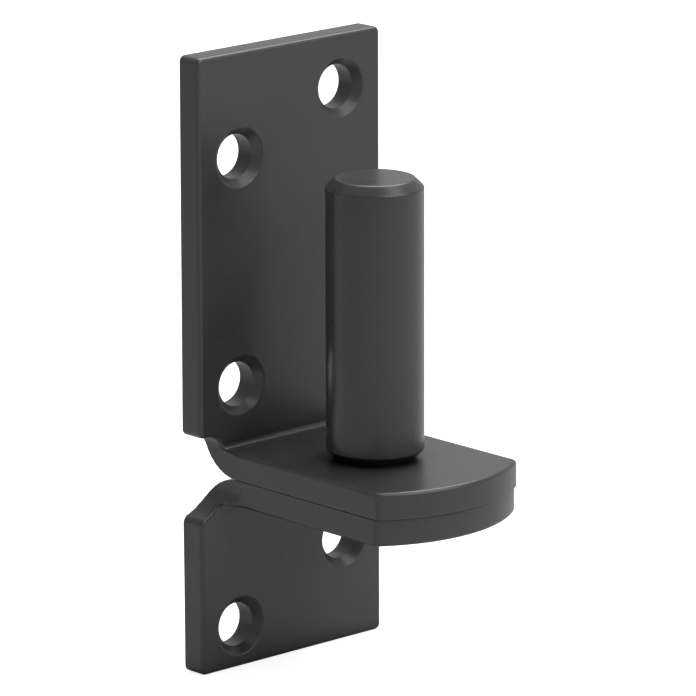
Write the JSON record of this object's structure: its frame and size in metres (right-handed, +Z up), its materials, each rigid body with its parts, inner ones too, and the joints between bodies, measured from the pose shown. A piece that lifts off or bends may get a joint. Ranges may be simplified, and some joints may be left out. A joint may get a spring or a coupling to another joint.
{
  "type": "gate hinge pin",
  "caption": "Upright round hinge pin riveted through the tongues of bent steel wall plates with countersunk screw holes, for hanging a gate by a strap hinge's eye.",
  "frame": {"origin": "middle of the back: on the wall plane, mid width, and halfway between the top of the upper plate and the bottom of the lower plate", "axes": "+Z up along the pin, +Y into the wall, so that the pin stands out along -Y, and +X to the right as seen from the front"},
  "size_m": [0.04, 0.0468, 0.1032],
  "materials": {
    "black_coating": "satin black powder coat over steel"
  },
  "bodies": {
    "root": {"upper_plate": "black_coating", "lower_plate": "black_coating", "hinge_pin": "black_coating"}
  },
  "joints": []
}
